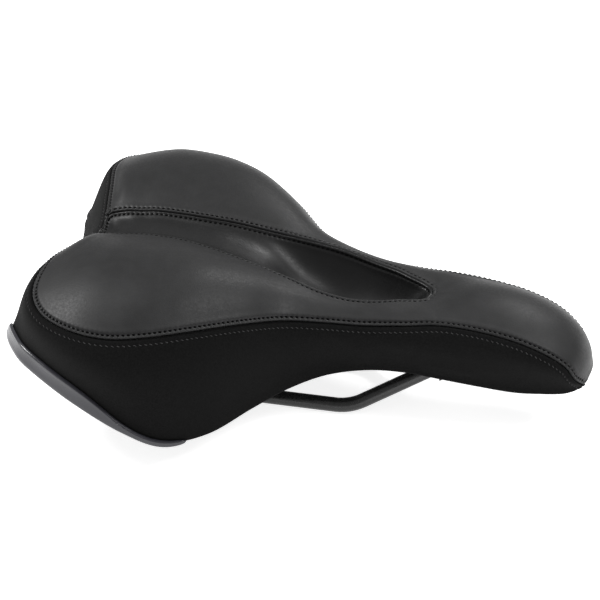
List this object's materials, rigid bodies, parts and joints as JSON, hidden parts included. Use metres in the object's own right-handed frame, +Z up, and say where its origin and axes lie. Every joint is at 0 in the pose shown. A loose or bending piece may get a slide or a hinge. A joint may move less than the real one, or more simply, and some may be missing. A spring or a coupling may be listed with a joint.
{
  "type": "bicycle saddle",
  "caption": "Wide padded comfort bicycle saddle with a recessed centre channel, stitched cover panels, rear edge guard and two bent rails for a seatpost clamp.",
  "frame": {"origin": "midway between the two rail centrelines, at the middle of the straight length that the seatpost clamp holds", "axes": "+X forward to the nose, +Y to the rider's left, +Z up; the straight rails lie along X"},
  "size_m": [0.2666, 0.2004, 0.0868],
  "materials": {
    "top_leather": "fine grained synthetic leather, low sheen",
    "centre_leather": "fine grained synthetic leather, low sheen",
    "side_fabric": "matte",
    "seat_foam": "matte moulded foam",
    "memory_foam": "matte foam",
    "black_plastic": "matte",
    "grey_plastic": "satin",
    "black_rail": "satin black",
    "zinc_steel": "zinc plated"
  },
  "bodies": {
    "root": {"top_cover": "top_leather", "centre_cover": "centre_leather", "side_cover_left": "side_fabric", "side_cover_right": "side_fabric", "foam_pad": "seat_foam", "memory_foam_left": "memory_foam", "memory_foam_right": "memory_foam", "base_shell": "black_plastic", "corner_guard_left": "grey_plastic", "corner_guard_right": "grey_plastic", "rail_left": "black_rail", "rail_right": "black_rail", "nose_socket": "black_plastic", "nose_socket_screws": "zinc_steel", "rear_socket_left": "black_plastic", "rear_socket_right": "black_plastic", "rear_socket_screws": "zinc_steel", "guard_screws": "zinc_steel", "cover_staples": "zinc_steel"}
  },
  "joints": []
}
